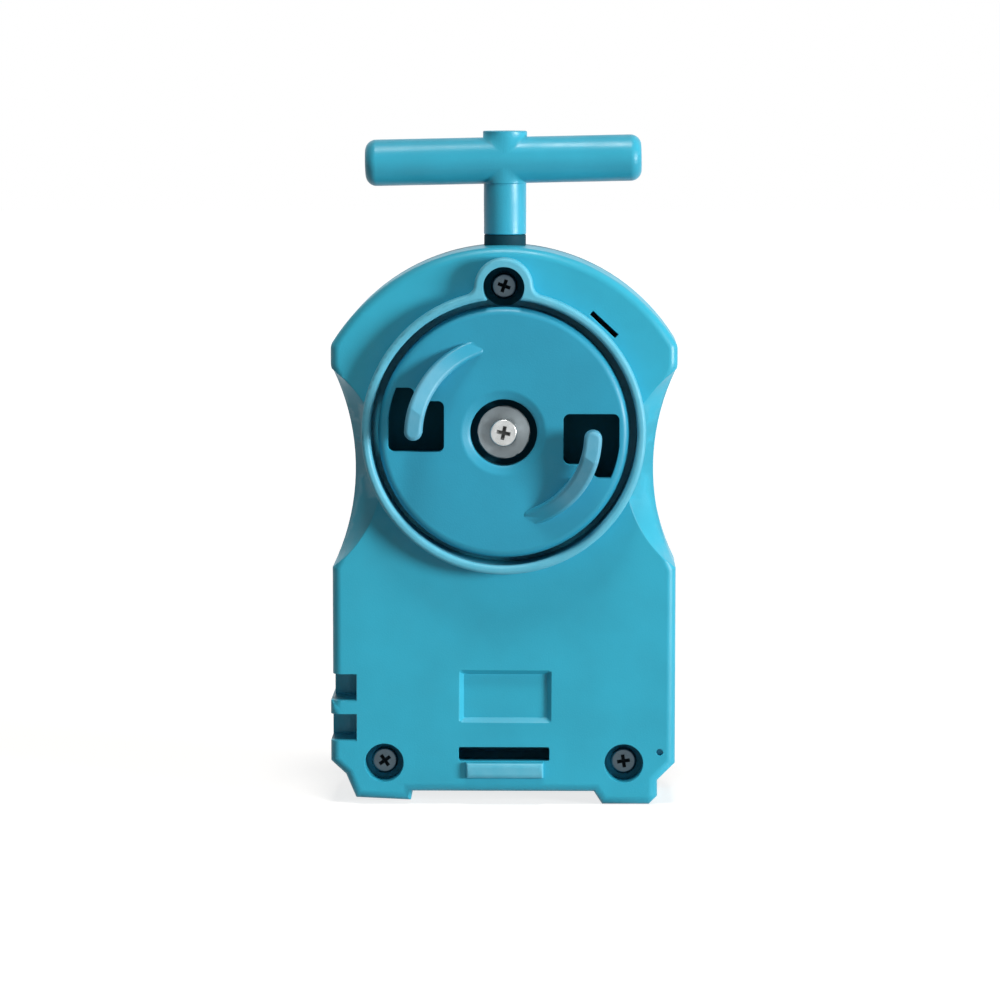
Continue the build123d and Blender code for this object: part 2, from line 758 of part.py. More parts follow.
# ================================================================ guide roller on the top post
with BuildPart() as guide_roller:
    with BuildSketch(turning_plane(top_screw_center)):
        with BuildLine():
            bore_r = roller_post_r + running_gap
            Polyline(
                (roller_flange_r, roller_front_y + roller_lip),
                (roller_flange_r, roller_front_y),
                (bore_r, roller_front_y),
                (bore_r, roller_back_y),
                (roller_flange_r, roller_back_y),
                (roller_flange_r, roller_back_y - roller_lip),
            )
            ThreePointArc(
                (roller_flange_r, roller_back_y - roller_lip),
                (roller_groove_r, cord_y),
                (roller_flange_r, roller_front_y + roller_lip),
            )
        make_face()
    revolve(axis=axis_at(top_screw_center))
guide_roller.part.label = "guide_roller"
export_step(guide_roller.part, "parts/guide_roller.step")

# ================================================================ fixed pins
with BuildPart() as spool_axle:
    with BuildSketch(facing(rear_inner_y)):
        with Locations(spool_center):
            Circle(axle_r)
    extrude(amount=rear_inner_y - axle_front_y)
    chamfer(spool_axle.edges().filter_by(GeomType.CIRCLE), length=pin_chamfer)
spool_axle.part.label = "spool_axle"
export_step(spool_axle.part, "parts/spool_axle.step")

with BuildPart() as idler_pin:
    with BuildSketch(facing(idler_pin_back_y)):
        with Locations(idler_center):
            Circle(idler_pin_r)
    extrude(amount=idler_pin_back_y - idler_pin_front_y)
    chamfer(idler_pin.edges().filter_by(GeomType.CIRCLE), length=pin_chamfer)
idler_pin.part.label = "idler_pin"
export_step(idler_pin.part, "parts/idler_pin.step")

# ================================================================ bushes of the output shaft
bush_front_y = well_bottom_y - bush_boss_height
with BuildPart() as output_bush:
    with BuildSketch(turning_plane(disc_center)):
        with BuildLine():
            Polyline(
                (shaft_r + running_gap, bush_front_y),
                (bush_outer_r, bush_front_y),
                (bush_outer_r, well_back_y),
                (bush_flange_r, well_back_y),
                (bush_flange_r, well_back_y + bush_flange),
                (shaft_r + running_gap, well_back_y + bush_flange),
                close=True,
            )
        make_face()
    revolve(axis=axis_at(disc_center))
output_bush.part.label = "output_bush"
export_step(output_bush.part, "parts/output_bush.step")

with BuildPart() as rear_bush:
    with BuildSketch(facing(rear_inner_y)):
        with Locations(disc_center):
            Circle(bush_outer_r)
            Circle(shaft_r + running_gap, mode=Mode.SUBTRACT)
    extrude(amount=rear_bush_length)
    chamfer(rear_bush.edges().filter_by(GeomType.CIRCLE).group_by(Axis.Y)[0], length=pin_chamfer)
rear_bush.part.label = "rear_bush"
export_step(rear_bush.part, "parts/rear_bush.step")

# ================================================================ cord spool with its gear rim
spool_front_y = front_inner_y + axle_boss_height + spool_end_gap
web_front_y = gear_back_y - spool_web
rim_inner_r = spool_pitch_r - dedendum_share * gear_module - rim_ring
with BuildPart() as cord_spool:
    with BuildSketch(facing(gear_back_y)):
        with Locations(spool_center):
            add(gear_sketch(spool_teeth, spool_phase))
            Circle(rim_inner_r, mode=Mode.SUBTRACT)
    extrude(amount=gear_width)
    with BuildSketch(turning_plane(spool_center)):
        with BuildLine():
            Polyline(
                (axle_r + running_gap, spool_front_y),
                (spool_hub_r, spool_front_y),
                (spool_hub_r, web_front_y),
                (rim_inner_r + rim_overlap, web_front_y),
                (rim_inner_r + rim_overlap, gear_back_y),
                (drum_r, gear_back_y),
                (drum_r, flange_y),
                (flange_r, flange_y),
                (flange_r, flange_back_y),
                (drum_r - drum_wall, flange_back_y),
                (drum_r - drum_wall, gear_back_y),
                (axle_r + running_gap, gear_back_y),
                close=True,
            )
        make_face()
    revolve(axis=axis_at(spool_center))
    # Lightening holes in the web
    with BuildSketch(facing(gear_back_y)):
        with Locations(spool_center):
            with PolarLocations((spool_hub_r + drum_r - drum_wall) / 2, web_hole_count):
                Circle(web_hole_r)
    extrude(amount=spool_web, mode=Mode.SUBTRACT)
cord_spool.part.label = "cord_spool"
export_step(cord_spool.part, "parts/cord_spool.step")

# ================================================================ cord wound on the drum
with BuildPart() as cord_winding:
    with BuildSketch(facing(flange_y - winding_side_gap)):
        with Locations(spool_center):
            Circle(winding_r)
            Circle(drum_r, mode=Mode.SUBTRACT)
    extrude(amount=groove_width - 2 * winding_side_gap)
    round_edges = cord_winding.edges().filter_by(GeomType.CIRCLE)
    outer_edges = round_edges.filter_by(lambda e: e.radius > winding_r - near)
    fillet(outer_edges, radius=winding_edge_radius)
cord_winding.part.label = "cord_winding"
export_step(cord_winding.part, "parts/cord_winding.step")

# ================================================================ rewind spring: a flat spiral strip
spring_inner_r = arbor_r + running_gap
spring_outer_r = drum_r - drum_wall - running_gap
spring_pitch = (spring_outer_r - spring_thickness - spring_inner_r) / spring_turns
with BuildPart() as rewind_spring:
    with BuildSketch(facing(flange_back_y - spring_side_gap, spool_center)):
        with BuildLine():
            for face_r in (spring_inner_r, spring_inner_r + spring_thickness):
                for half_turn in range(2 * spring_turns):
                    side = 1 if half_turn % 2 == 0 else -1
                    start_r = face_r + half_turn * spring_pitch / 2
                    end_r = start_r + spring_pitch / 2
                    ThreePointArc(
                        (side * start_r, 0),
                        (-side * (end_r - start_r) / 2, side * (start_r + end_r) / 2),
                        (-side * end_r, 0),
                    )
            Line((spring_inner_r, 0), (spring_inner_r + spring_thickness, 0))
            last_r = spring_inner_r + spring_turns * spring_pitch
            Line((last_r, 0), (last_r + spring_thickness, 0))
        make_face()
    extrude(amount=groove_width + flange_thickness - 2 * spring_side_gap)
rewind_spring.part.label = "rewind_spring"
export_step(rewind_spring.part, "parts/rewind_spring.step")

# ================================================================ spring cover
with BuildPart() as spring_cover:
    with BuildSketch(facing(flange_back_y + spring_cover_thickness)):
        with Locations(spool_center):
            Circle(spring_cover_r)
            Circle(arbor_r + spring_cover_bore_gap, mode=Mode.SUBTRACT)
            with PolarLocations((arbor_r + spring_cover_r) / 2, cover_hole_count):
                Circle(cover_hole_r, mode=Mode.SUBTRACT)
    extrude(amount=spring_cover_thickness)
spring_cover.part.label = "spring_cover"
export_step(spring_cover.part, "parts/spring_cover.step")

# ================================================================ washers on the axle and on the idler's pin
with BuildPart() as spool_washer:
    with BuildSketch(facing(gear_back_y + running_gap + washer_thickness)):
        with Locations(spool_center):
            Circle(spool_hub_r)
            Circle(axle_r + running_gap, mode=Mode.SUBTRACT)
    extrude(amount=washer_thickness)
spool_washer.part.label = "spool_washer"
export_step(spool_washer.part, "parts/spool_washer.step")

idler_back_y = gear_back_y - pinion_side_gap
with BuildPart() as idler_washer:
    with BuildSketch(facing(idler_back_y + running_gap + washer_thickness)):
        with Locations(idler_center):
            Circle(idler_boss_r - washer_inset)
            Circle(idler_pin_r + running_gap, mode=Mode.SUBTRACT)
    extrude(amount=washer_thickness)
idler_washer.part.label = "idler_washer"
export_step(idler_washer.part, "parts/idler_washer.step")

# ================================================================ idler gear
pinion_front_y = gear_front_y + pinion_side_gap
with BuildPart() as idler_gear:
    with BuildSketch(facing(idler_back_y)):
        with Locations(idler_center):
            add(gear_sketch(idler_teeth, idler_phase))
            Circle(idler_pin_r + running_gap, mode=Mode.SUBTRACT)
    extrude(amount=idler_back_y - pinion_front_y)
idler_gear.part.label = "idler_gear"
export_step(idler_gear.part, "parts/idler_gear.step")

# ================================================================ output shaft, gear, drive disc
shaft_front_y = disc_recess_y + running_gap
hub_back_y = rear_bush_front_y - spool_end_gap
with BuildPart() as output_shaft:
    with BuildSketch(facing(rear_inner_y - running_gap)):
        with Locations(disc_center):
            Circle(shaft_r)
    extrude(amount=rear_inner_y - running_gap - shaft_front_y)
    for flat_back_y, flat_front_y in ((hub_back_y, pinion_front_y), (disc_hub_back_y, shaft_front_y)):
        with BuildSketch(facing(flat_back_y)):
            with Locations((disc_center[0] + shaft_flat + shaft_r, disc_center[1])):
                Rectangle(2 * shaft_r, 2 * shaft_r)
        extrude(amount=flat_back_y - flat_front_y, mode=Mode.SUBTRACT)
    with BuildSketch(facing(disc_recess_y - disc_washer_thickness + disc_screw_length)):
        with Locations(disc_center):
            Circle(disc_screw_r + fixed_gap)
    extrude(amount=disc_screw_length, mode=Mode.SUBTRACT)
output_shaft.part.label = "output_shaft"
export_step(output_shaft.part, "parts/output_shaft.step")

with BuildSketch() as shaft_socket:
    Circle(shaft_r + fixed_gap)
    with Locations((shaft_flat + fixed_gap + shaft_r, 0)):
        Rectangle(2 * shaft_r, 3 * shaft_r, mode=Mode.SUBTRACT)

with BuildPart() as output_gear:
    with BuildSketch(facing(idler_back_y)):
        with Locations(disc_center):
            add(gear_sketch(output_teeth, output_phase))
    extrude(amount=idler_back_y - pinion_front_y)
    with BuildSketch(facing(hub_back_y)):
        with Locations(disc_center):
            Circle(gear_hub_r)
    extrude(amount=hub_back_y - idler_back_y)
    with BuildSketch(facing(hub_back_y)):
        with Locations(disc_center):
            add(shaft_socket.sketch)
    extrude(amount=hub_back_y - pinion_front_y, mode=Mode.SUBTRACT)
output_gear.part.label = "output_gear"
export_step(output_gear.part, "parts/output_gear.step")

# A hook is an arc-shaped arm that climbs from the disc's face to an overhanging tip.
hook_root = Vector(hook_r, 0).rotate(Axis.Z, hook_root_angle)
hook_middle = Vector(hook_r, 0).rotate(Axis.Z, (hook_root_angle + hook_tip_angle) / 2)
hook_tip = Vector(hook_r, 0).rotate(Axis.Z, hook_tip_angle)
hook_run = (hook_tip - hook_root).length - hook_width
hook_rise = hook_height - hook_root_height
with BuildPart() as hook:
    with BuildSketch(Plane.XY.offset(-disc_plate / 2)):
        with BuildLine() as hook_line:
            ThreePointArc(hook_root, hook_middle, hook_tip)
        SlotArc(hook_line.wire(), height=hook_width)
    extrude(amount=hook_height + disc_plate / 2)
    # The top climbs as one slope along the chord from root to tip
    uphill = (hook_tip - hook_root).normalized()
    slope_dir = (uphill * hook_run + Vector(0, 0, hook_rise)).normalized()
    across = Vector(0, 0, 1).cross(uphill)
    slope_origin = hook_root + Vector(0, 0, hook_root_height)
    slope = Plane(origin=slope_origin, x_dir=slope_dir, z_dir=slope_dir.cross(across))
    split(bisect_by=slope, keep=Keep.BOTTOM)
    climbing = hook.faces().filter_by(lambda f: f.normal_at().Z > near)
    fillet(climbing.edges(), radius=hook_edge_radius)
    # Room under the tip, over the window
    with BuildSketch(Plane.XY.offset(-disc_plate)):
        with Locations((-(window_outer_x + window_inner_x) / 2, (window_high - 2 * window_low) / 2)):
            Rectangle(2 * (window_outer_x - window_inner_x), window_high + 2 * window_low)
    extrude(amount=disc_plate + hook_undercut, mode=Mode.SUBTRACT)

with BuildSketch() as window:
    with BuildLine():
        Polyline(
            (-window_outer_x, -window_low),
            (-window_inner_x, -window_low),
            (-window_inner_x, window_inner_high),
            (-hook_r, window_inner_high),
            (-hook_r, window_high),
            (-window_outer_x, window_high),
            close=True,
        )
    make_face()
    fillet(window.vertices(), radius=window_corner)
    Circle(disc_r - disc_skirt_wall - window_rim / 2, mode=Mode.INTERSECT)

with BuildPart() as drive_disc:
    with BuildSketch(turning_plane(disc_center)):
        with BuildLine():
            skirt_back_y = disc_face_y + disc_skirt_depth
            dish_y = disc_face_y + disc_dish_depth
            plate_back_y = disc_face_y + disc_plate
            washer_seat_r = disc_washer_r - washer_seat_step
            groove_y = disc_recess_y + disc_groove_depth
            Polyline(
                (0, disc_recess_y),
                (washer_seat_r, disc_recess_y),
                (washer_seat_r, groove_y),
                (disc_recess_r, groove_y),
                (disc_recess_r, dish_y),
                (disc_dish_r, disc_face_y),
                (disc_r - disc_rim_radius, disc_face_y),
            )
            RadiusArc(
                (disc_r - disc_rim_radius, disc_face_y),
                (disc_r, disc_face_y + disc_rim_radius),
                -disc_rim_radius,
            )
            Polyline(
                (disc_r, disc_face_y + disc_rim_radius),
                (disc_r, skirt_back_y),
                (disc_r - disc_skirt_wall, skirt_back_y),
                (disc_r - disc_skirt_wall, plate_back_y),
                (disc_hub_r, plate_back_y),
                (disc_hub_r, disc_hub_back_y),
                (0, disc_hub_back_y),
                (0, disc_recess_y),
            )
        make_face()
    revolve(axis=axis_at(disc_center))
    for turn in (0, 180):
        with BuildSketch(facing(disc_hub_back_y)):
            with Locations(Location((disc_center[0], disc_center[1]), turn)):
                add(window.sketch)
        extrude(amount=disc_hub_back_y - disc_face_y, mode=Mode.SUBTRACT)
        with Locations(facing(disc_face_y).location * Location((*disc_center, 0), (0, 0, turn))):
            add(hook.part)
    with BuildSketch(facing(disc_hub_back_y)):
        with Locations(disc_center):
            add(shaft_socket.sketch)
    extrude(amount=disc_hub_back_y - disc_recess_y, mode=Mode.SUBTRACT)
drive_disc.part.label = "drive_disc"
export_step(drive_disc.part, "parts/drive_disc.step")

# ================================================================ washer and screw in the middle of the disc
with BuildPart() as disc_washer:
    with BuildSketch(facing(disc_recess_y)):
        with Locations(disc_center):
            Circle(disc_washer_r)
            Circle(disc_screw_r + disc_washer_bore_gap, mode=Mode.SUBTRACT)
    extrude(amount=disc_washer_thickness)
    front_edges = disc_washer.edges().filter_by(GeomType.CIRCLE).group_by(Axis.Y)[0]
    chamfer(front_edges.sort_by(SortBy.LENGTH)[-1], length=disc_washer_chamfer)
disc_washer.part.label = "disc_washer"
export_step(disc_washer.part, "parts/disc_washer.step")

disc_screw_seat_y = disc_recess_y - disc_washer_thickness
with BuildPart() as disc_screw:
    with BuildSketch(facing(disc_screw_seat_y)):
        with Locations(disc_center):
            Circle(disc_screw_r)
    extrude(amount=disc_screw_tip_gap - disc_screw_length)
    with BuildSketch(facing(disc_screw_seat_y)):
        with Locations(disc_center):
            Circle(disc_screw_head_r)
    extrude(amount=disc_screw_head_height)
    fillet(disc_screw.faces().sort_by(Axis.Y)[0].edges(), radius=disc_screw_crown_radius)
disc_screw.part.label = "disc_screw"
export_step(disc_screw.part, "parts/disc_screw.step")

# ================================================================ pull handle with its cord knot
handle_bottom_z = eyelet_top_z + handle_seat_gap
bar_z = handle_bottom_z + handle_bar_above_seat
handle_top_z = bar_z + handle_bar_r + handle_hub_above_bar
pocket_floor_z = handle_top_z - handle_pocket_depth
bar_tilt = math.radians(handle_bar_tilt)
bar_direction = (math.cos(bar_tilt), 0, math.sin(bar_tilt))
bar_start = Vector(0, cord_y, bar_z) + Vector(*bar_direction) * (handle_bar_shift - handle_bar_length / 2)
with BuildPart() as pull_handle:
    with BuildSketch(Plane.XY.offset(handle_bottom_z)):
        with Locations((0, cord_y)):
            Circle(handle_stem_r)
    extrude(amount=bar_z - handle_bottom_z)
    with BuildSketch(Plane.XY.offset(bar_z - handle_bar_r)):
        with Locations((0, cord_y)):
            Circle(handle_hub_r)
    extrude(amount=handle_top_z - bar_z + handle_bar_r)
    with BuildSketch(Plane(origin=bar_start, x_dir=(0, 1, 0), z_dir=bar_direction)):
        Circle(handle_bar_r)
    extrude(amount=handle_bar_length)
    ends = pull_handle.faces().sort_by(Axis.X)
    fillet(ends[0].edges() + ends[-1].edges(), radius=handle_end_radius)
    with BuildSketch(Plane.XY.offset(handle_top_z)):
        with Locations((0, cord_y)):
            Circle(handle_pocket_r)
    extrude(amount=-handle_pocket_depth, mode=Mode.SUBTRACT)
    with BuildSketch(Plane.XY.offset(handle_bottom_z)):
        with Locations((0, cord_y)):
            Circle(cord_hole_r)
    extrude(amount=pocket_floor_z - handle_bottom_z, mode=Mode.SUBTRACT)
pull_handle.part.label = "pull_handle"
export_step(pull_handle.part, "parts/pull_handle.step")

with BuildPart() as cord_knot:
    with BuildSketch(Plane.XY.offset(pocket_floor_z)):
        with Locations((0, cord_y)):
            Circle(knot_r)
    extrude(amount=knot_height)
    fillet(cord_knot.edges().filter_by(GeomType.CIRCLE), radius=knot_edge_radius)
cord_knot.part.label = "cord_knot"
export_step(cord_knot.part, "parts/cord_knot.step")

# ================================================================ cord from the winding to the knot
cord_r = cord_diameter / 2
leave_r = winding_r + cord_r + cord_gap
guide_r = roller_groove_r + cord_r + running_gap
lean = math.asin((leave_r - guide_r) / (top_screw_z - spool_axis_z))
bend_z = head_top_z
lead = math.asin(guide_r / (bend_z - top_screw_z))
cord_start = (leave_r * math.cos(lean), spool_axis_z + leave_r * math.sin(lean))
# The corner where the lines before and after the roller cross lies beyond the middle of its wrap
wrap_middle = (lean + lead) / 2
corner_r = guide_r / math.cos((lead - lean) / 2)
roller_corner = (corner_r * math.cos(wrap_middle), top_screw_z + corner_r * math.sin(wrap_middle))
with BuildPart() as cord_run:
    with BuildLine(Plane.XZ.offset(-cord_y)) as cord_path:
        FilletPolyline(
            cord_start,
            roller_corner,
            (0, bend_z),
            (0, pocket_floor_z),
            radius=[guide_r, cord_bend_radius],
        )
    with BuildSketch(Plane(origin=cord_path.line @ 0, z_dir=cord_path.line % 0)):
        Circle(cord_r)
    sweep(path=cord_path.line)
cord_run.part.label = "cord_run"
export_step(cord_run.part, "parts/cord_run.step")
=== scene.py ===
import json
import math

import bpy
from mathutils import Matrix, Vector


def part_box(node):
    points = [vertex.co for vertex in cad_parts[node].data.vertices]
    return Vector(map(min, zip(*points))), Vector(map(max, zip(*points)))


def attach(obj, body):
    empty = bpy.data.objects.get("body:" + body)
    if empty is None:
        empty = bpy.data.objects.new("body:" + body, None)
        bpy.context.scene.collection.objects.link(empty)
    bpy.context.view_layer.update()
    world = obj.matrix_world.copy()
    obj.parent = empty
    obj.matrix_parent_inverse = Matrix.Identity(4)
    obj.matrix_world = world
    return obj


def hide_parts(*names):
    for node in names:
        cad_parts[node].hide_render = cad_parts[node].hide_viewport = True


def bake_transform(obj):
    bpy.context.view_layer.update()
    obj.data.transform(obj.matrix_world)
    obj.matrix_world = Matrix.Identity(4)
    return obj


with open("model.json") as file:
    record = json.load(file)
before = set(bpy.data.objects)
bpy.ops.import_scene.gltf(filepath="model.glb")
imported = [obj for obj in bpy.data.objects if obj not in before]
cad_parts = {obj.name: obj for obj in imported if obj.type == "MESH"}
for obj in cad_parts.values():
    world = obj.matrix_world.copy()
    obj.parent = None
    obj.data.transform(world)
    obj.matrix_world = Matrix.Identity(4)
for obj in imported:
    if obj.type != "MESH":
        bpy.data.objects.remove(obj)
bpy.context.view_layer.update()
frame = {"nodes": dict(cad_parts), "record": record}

# The looks of the pull-cord line reel, in the CAD's frame and in metres: copies of the mouldings with their
# edges rounded, screws with recesses and threads, the cord's knot and wraps, and every surface's finish.
MM = 0.001

nodes = frame["nodes"]
bodies = frame["record"]["behaviour"]["bodies"]
body_of_node = {node: body for body, members in bodies.items() for node in members}
slot_of_node = {part["node"]: part["material_slot"] for part in frame["record"]["subparts"]}
bpy.ops.object.select_all(action="DESELECT")


# ---------------------------------------------------------------- places, from the CAD nodes
def middle_of(node):
    low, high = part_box(node)
    return (Vector(low) + Vector(high)) / 2


collar_height = 4.0 * MM
disc_face_before_washer = 1.7 * MM
screw_head_radius = 2.35 * MM
screw_head_height = 1.7 * MM

case_low, case_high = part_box("front_cover")
collar_top_y = case_low[1]
case_face_y = collar_top_y + collar_height
split_y = case_high[1]

disc_low, disc_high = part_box("drive_disc")
disc_radius = (disc_high[0] - disc_low[0]) / 2
disc_middle = middle_of("disc_washer")
disc_axis = (disc_middle.x, disc_middle.z)
disc_screw_seat_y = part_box("disc_washer")[0][1]
disc_face_y = disc_screw_seat_y - disc_face_before_washer
disc_screw_low, disc_screw_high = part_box("disc_screw")
disc_screw_front_y = disc_screw_low[1]

screw_low, screw_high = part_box("case_screws")
screw_front_y = screw_low[1]
screw_seat_y = screw_front_y + screw_head_height
top_screw = (0.0, screw_high[2] - screw_head_radius)
low_screws = [
    (side * (screw_high[0] - screw_head_radius), screw_low[2] + screw_head_radius) for side in (-1, 1)
]


# ---------------------------------------------------------------- nodes that materials are made of
def new_material(name):
    material = bpy.data.materials.new(name)
    material.use_nodes = True
    return material, material.node_tree.nodes, material.node_tree.links


def calculate(tree, links, operation, first, second=0.0):
    """One step of arithmetic. Each value is a socket or a number."""
    step = tree.new("ShaderNodeMath")
    step.operation = operation
    for socket, value in zip(step.inputs, (first, second)):
        if isinstance(value, (int, float)):
            socket.default_value = value
        else:
            links.new(value, socket)
    return step.outputs[0]


def spread(tree, links, value, start, end, low, high, easing):
    """Takes start to end over into low to high, and holds both ends."""
    step = tree.new("ShaderNodeMapRange")
    step.interpolation_type = easing
    step.inputs["From Min"].default_value = start
    step.inputs["From Max"].default_value = end
    step.inputs["To Min"].default_value = low
    step.inputs["To Max"].default_value = high
    links.new(value, step.inputs["Value"])
    return step.outputs["Result"]


def ramp(tree, links, value, start, end, low=0.0, high=1.0):
    """low at start and high at end, smooth between them."""
    return spread(tree, links, value, start, end, low, high, "SMOOTHSTEP")


def between(tree, links, noise, low, high):
    """A value that runs from low to high with a noise, most of which lies around a half."""
    return spread(tree, links, noise, 0.3, 0.7, low, high, "LINEAR")


def object_noise(tree, links, scale, detail=2.0, roughness=0.5):
    place = tree.new("ShaderNodeTexCoord")
    noise = tree.new("ShaderNodeTexNoise")
    noise.inputs["Scale"].default_value = scale
    noise.inputs["Detail"].default_value = detail
    noise.inputs["Roughness"].default_value = roughness
    links.new(place.outputs["Object"], noise.inputs["Vector"])
    return noise.outputs["Fac"]


def shaded(color, factor):
    return tuple(min(1.0, channel * factor) for channel in color)


# A paler tint of a colour: the painted highlight on what stands proud
def highlight_pale(color):
    return tuple(min(1.0, channel * 0.98 + 0.085) for channel in color)


def blend_colors(tree, links, factor, first, second):
    """A colour socket that runs from the first to the second. Each is a socket or a plain colour."""
    mix = tree.new("ShaderNodeMix")
    mix.data_type = "RGBA"
    links.new(factor, mix.inputs[0])
    for socket, color in zip((mix.inputs[6], mix.inputs[7]), (first, second)):
        if isinstance(color, tuple):
            socket.default_value = (*color, 1.0)
        else:
            links.new(color, socket)
    return mix.outputs[2]


def mottle(tree, links, noise, dark, light):
    """A colour between two shades, by a noise."""
    return blend_colors(tree, links, between(tree, links, noise, 0.0, 1.0), dark, light)


def bump(tree, links, height, depth):
    relief = tree.new("ShaderNodeBump")
    relief.inputs["Strength"].default_value = 1.0
    relief.inputs["Distance"].default_value = depth
    links.new(height, relief.inputs["Height"])
    return relief.outputs["Normal"]


def place_axes(tree, links):
    place = tree.new("ShaderNodeTexCoord")
    split = tree.new("ShaderNodeSeparateXYZ")
    links.new(place.outputs["Object"], split.inputs[0])
    return split.outputs


def distance_from_axis(tree, links, axes, center):
    """How far a point is from the front-to-back axis through a centre (x, z)."""
    along_x = calculate(tree, links, "SUBTRACT", axes[0], center[0])
    along_z = calculate(tree, links, "SUBTRACT", axes[2], center[1])
    square = calculate(
        tree, links, "ADD",
        calculate(tree, links, "MULTIPLY", along_x, along_x),
        calculate(tree, links, "MULTIPLY", along_z, along_z),
    )
    return calculate(tree, links, "SQRT", square)


def painted_shade_in(tree, links, axes, hollows):
    """1 inside any of the round hollows where shade is painted, each given as its centre and radius, and the
    depths at which the painted shade starts, is full and ends."""
    soft_side = 0.06 * MM
    soft_end = 0.02 * MM
    total = None
    for center, radius, start_y, full_y, end_y in hollows:
        distance = distance_from_axis(tree, links, axes, center)
        near_axis = ramp(tree, links, distance, radius + soft_side, radius)
        deep = ramp(tree, links, axes[1], start_y, full_y)
        shallow = ramp(tree, links, axes[1], end_y + soft_end, end_y - soft_end)
        in_depth = calculate(tree, links, "MULTIPLY", deep, shallow)
        inside = calculate(tree, links, "MULTIPLY", near_axis, in_depth)
        total = inside if total is None else calculate(tree, links, "MAXIMUM", total, inside)
    return total


def with_painted_shade(tree, links, axes, hollows, surface, shine, shade_color):
    """The surface's colour and roughness, with painted shade in the hollows: darker and duller there."""
    if not hollows:
        return surface, shine
    shade_mask = painted_shade_in(tree, links, axes, hollows)
    # Painted shade: the colour is darkened towards the shade colour inside the hollows
    return (
        blend_colors(tree, links, shade_mask, surface, shade_color),
        calculate(tree, links, "MAXIMUM", shine, shade_mask),
    )


# ---------------------------------------------------------------- kinds of material
def moulded_plastic(name, color, gloss, hollows=(), proud=None, reflection=0.32):
    """Coloured plastic from a mould: faint flow marks, an uneven sheen and a fine spark-eroded grain.
    Painted shade darkens its hollows. What stands proud gets a painted highlight, a paler tint with a little
    more roughness, from the first depth in proud to the second."""
    flow_marks = 90.0
    sheen_patches = 260.0
    highlight_patches = 420.0
    mould_grain = 3200.0
    grain_depth = 0.02 * MM
    material, tree, links = new_material(name)
    shader = tree["Principled BSDF"]
    flow = object_noise(tree, links, flow_marks, 3.0)
    sheen = object_noise(tree, links, sheen_patches)
    texture = object_noise(tree, links, mould_grain)
    surface = mottle(tree, links, flow, shaded(color, 0.94), shaded(color, 1.06))
    shine = between(tree, links, sheen, gloss - 0.05, gloss + 0.07)
    axes = place_axes(tree, links)
    # Painted highlight: what stands proud is paled, in patches, with a little more roughness
    if proud:
        highlight_spread = between(tree, links, object_noise(tree, links, highlight_patches, 4.0, 0.6), 0.65, 1.0)
        pale_highlight = calculate(tree, links, "MULTIPLY", ramp(tree, links, axes[1], *proud), highlight_spread)
        surface = blend_colors(tree, links, pale_highlight, surface, highlight_pale(color))
        shine = calculate(tree, links, "ADD", shine, calculate(tree, links, "MULTIPLY", pale_highlight, 0.08))
    # Painted shade: the hollows are darkened and dulled where shade falls
    surface, shine = with_painted_shade(tree, links, axes, hollows, surface, shine, shaded(color, 0.32))
    links.new(surface, shader.inputs["Base Color"])
    links.new(shine, shader.inputs["Roughness"])
    links.new(bump(tree, links, texture, grain_depth), shader.inputs["Normal"])
    shader.inputs["Specular IOR Level"].default_value = reflection
    return material


def machined_metal(name, color, roughness, hollows=(), turned_about=None):
    """Turned or plated metal: fine drag lines, a mottled plating, a soft shine and painted shade in its
    recesses.
    Turned faces carry rings about their axis, given as a centre (x, z)."""
    stains = 700.0
    drag_marks = 5200.0
    ring_pitch = 0.16 * MM
    mark_depth = 0.01 * MM
    material, tree, links = new_material(name)
    shader = tree["Principled BSDF"]
    stain = object_noise(tree, links, stains, 4.0)
    relief = object_noise(tree, links, drag_marks)
    surface = mottle(tree, links, stain, shaded(color, 0.85), shaded(color, 1.1))
    shine = between(tree, links, stain, roughness - 0.07, roughness + 0.1)
    axes = place_axes(tree, links)
    if turned_about:
        distance = distance_from_axis(tree, links, axes, turned_about)
        rings = calculate(tree, links, "MULTIPLY", distance, math.tau / ring_pitch)
        relief = calculate(tree, links, "ADD", relief, calculate(tree, links, "SINE", rings))
    # Painted shade: the recesses are darkened and dulled where shade falls
    surface, shine = with_painted_shade(tree, links, axes, hollows, surface, shine, shaded(color, 0.45))
    links.new(surface, shader.inputs["Base Color"])
    links.new(shine, shader.inputs["Roughness"])
    links.new(bump(tree, links, relief, mark_depth), shader.inputs["Normal"])
    shader.inputs["Metallic"].default_value = 1.0
    return material


def diagonal_strands(tree, links, lean):
    """Bands that climb to one side or the other."""
    place = tree.new("ShaderNodeTexCoord")
    turned = tree.new("ShaderNodeMapping")
    turned.inputs["Scale"].default_value = (1.0, 1.0, lean)
    links.new(place.outputs["Object"], turned.inputs["Vector"])
    bands = tree.new("ShaderNodeTexWave")
    bands.bands_direction = "DIAGONAL"
    bands.inputs["Scale"].default_value = 420.0
    bands.inputs["Distortion"].default_value = 0.4
    links.new(turned.outputs["Vector"], bands.inputs["Vector"])
    return bands.outputs["Fac"]


